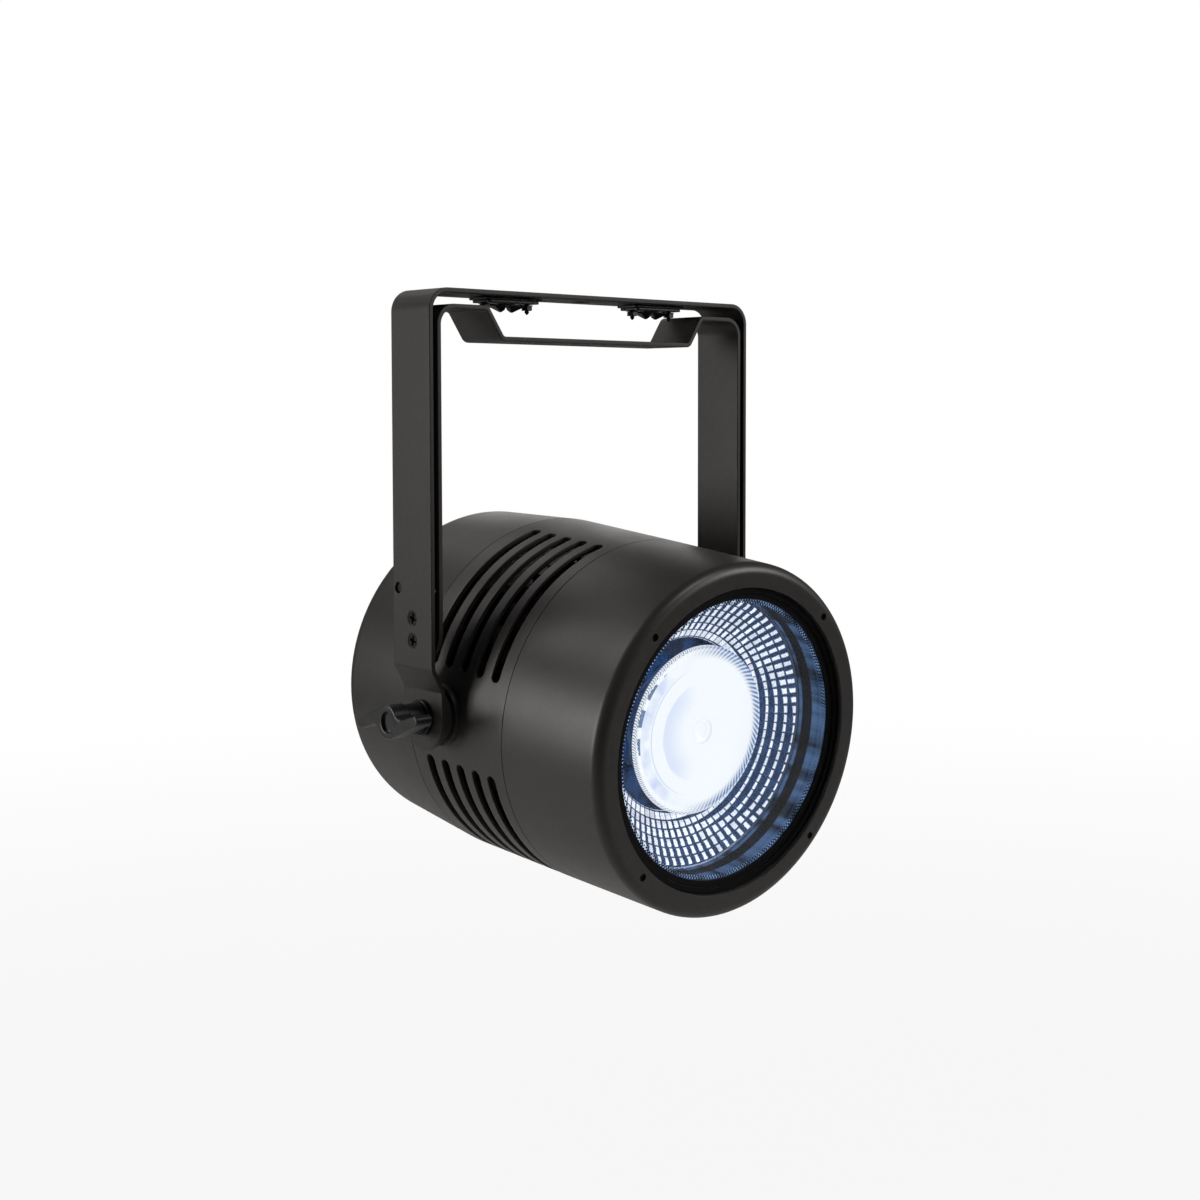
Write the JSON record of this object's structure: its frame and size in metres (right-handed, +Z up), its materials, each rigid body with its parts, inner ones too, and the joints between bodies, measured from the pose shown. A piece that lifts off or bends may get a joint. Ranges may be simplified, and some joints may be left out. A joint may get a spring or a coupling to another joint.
{
  "type": "strobe light",
  "caption": "Round LED strobe light that tilts in a joggled double yoke; the inner yoke folds out as a floor stand, and the yoke hangs from a truss clamp.",
  "frame": {"origin": "centre of the top bar's upper face, at the clamp bolt's hole", "axes": "+X along the tilt axis, +Y to the light's rear (the lens faces -Y), +Z up as it hangs"},
  "size_m": [0.2636, 0.2528, 0.3315],
  "materials": {
    "coated_housing": "fine matt powder coat",
    "coated_strip": "fine matt powder coat",
    "black_plastic": "matt",
    "satin_black_plastic": "satin",
    "zinc_steel": "bright zinc",
    "black_steel": "black oxide, satin",
    "bare_aluminium": "as extruded",
    "black_anodised": "black anodised",
    "mirror_coat": "vacuum-coated mirror facets",
    "window_glass": "clear, polished",
    "lens_plastic": "clear moulded acrylic",
    "black_rubber": "matt",
    "led_phosphor": "phosphor",
    "circuit_board": "solder mask",
    "display_window": "tinted window"
  },
  "bodies": {
    "yoke": {"outer_yoke": "coated_strip", "stand_hinge_left": "black_steel", "stand_hinge_right": "black_steel", "stand_detent_left": "black_steel", "stand_detent_right": "black_steel", "stand_screw_left_1": "black_steel", "stand_screw_left_2": "black_steel", "stand_screw_right_1": "black_steel", "stand_screw_right_2": "black_steel", "clamp_socket_plate_left": "black_steel", "clamp_socket_plate_right": "black_steel", "clamp_socket_cam_left": "black_steel", "clamp_socket_cam_right": "black_steel", "clamp_socket_screw_1": "zinc_steel", "clamp_socket_screw_2": "zinc_steel", "clamp_socket_screw_3": "zinc_steel", "clamp_socket_screw_4": "zinc_steel"},
    "floor_stand": {"floor_stand": "coated_strip"},
    "head": {"front_housing": "coated_housing", "vent_ring": "coated_housing", "rear_housing": "coated_housing", "glass_retainer": "black_plastic", "front_glass": "window_glass", "glass_gasket": "black_rubber", "optic_tube": "black_plastic", "reflector": "mirror_coat", "beam_lens": "lens_plastic", "lens_holder": "black_plastic", "led_emitter": "led_phosphor", "led_board": "bare_aluminium", "bulkhead": "black_anodised", "heat_sink": "black_anodised", "fan_frame": "black_plastic", "power_supply": "bare_aluminium", "rear_panel": "coated_housing", "control_board": "circuit_board", "display": "display_window", "data_input": "satin_black_plastic", "data_output": "satin_black_plastic", "power_inlet": "satin_black_plastic", "power_outlet": "satin_black_plastic", "fuse_holder": "satin_black_plastic", "safety_eye": "zinc_steel", "front_screw_1": "black_steel", "front_screw_2": "black_steel", "front_screw_3": "black_steel", "front_screw_4": "black_steel", "friction_disc_left": "black_rubber", "friction_disc_right": "black_rubber", "tilt_stud_left": "zinc_steel", "tilt_stud_right": "zinc_steel", "knob_washer_left": "black_steel", "knob_washer_right": "black_steel"},
    "fan_rotor": {"fan_rotor": "black_plastic"},
    "tilt_knob_left": {"tilt_knob_left": "satin_black_plastic"},
    "tilt_knob_right": {"tilt_knob_right": "satin_black_plastic"},
    "menu_button_1": {"menu_button_1": "satin_black_plastic"},
    "menu_button_2": {"menu_button_2": "satin_black_plastic"},
    "menu_button_3": {"menu_button_3": "satin_black_plastic"},
    "menu_button_4": {"menu_button_4": "satin_black_plastic"}
  },
  "joints": [
    {"name": "tilt", "type": "hinge", "parent": "yoke", "child": "head", "pos_m": [0, 0, -0.2275], "axis": [1, 0, 0], "range_deg": [-139.4, 130.6]},
    {"name": "stand_fold", "type": "hinge", "parent": "yoke", "child": "floor_stand", "pos_m": [0, 0, -0.18], "axis": [-1, 0, 0], "range_deg": [0, 100]},
    {"name": "knob_turn_left", "type": "hinge", "parent": "head", "child": "tilt_knob_left", "pos_m": [-0.12, 0, -0.2275], "axis": [-1, 0, 0], "range_deg": [0, 270]},
    {"name": "knob_turn_right", "type": "hinge", "parent": "head", "child": "tilt_knob_right", "pos_m": [0.12, 0, -0.2275], "axis": [1, 0, 0], "range_deg": [0, 270]},
    {"name": "fan_spin", "type": "hinge", "parent": "head", "child": "fan_rotor", "pos_m": [0, 0.02193, -0.22581], "axis": [0, 0.9971, 0.0767], "continuous": true},
    {"name": "button_press_1", "type": "slide", "parent": "head", "child": "menu_button_1", "axis": [0, -0.9971, -0.0767], "range_m": [0, 0.0012], "stiffness_N_per_m": 400},
    {"name": "button_press_2", "type": "slide", "parent": "head", "child": "menu_button_2", "axis": [0, -0.9971, -0.0767], "range_m": [0, 0.0012], "stiffness_N_per_m": 400},
    {"name": "button_press_3", "type": "slide", "parent": "head", "child": "menu_button_3", "axis": [0, -0.9971, -0.0767], "range_m": [0, 0.0012], "stiffness_N_per_m": 400},
    {"name": "button_press_4", "type": "slide", "parent": "head", "child": "menu_button_4", "axis": [0, -0.9971, -0.0767], "range_m": [0, 0.0012], "stiffness_N_per_m": 400}
  ]
}
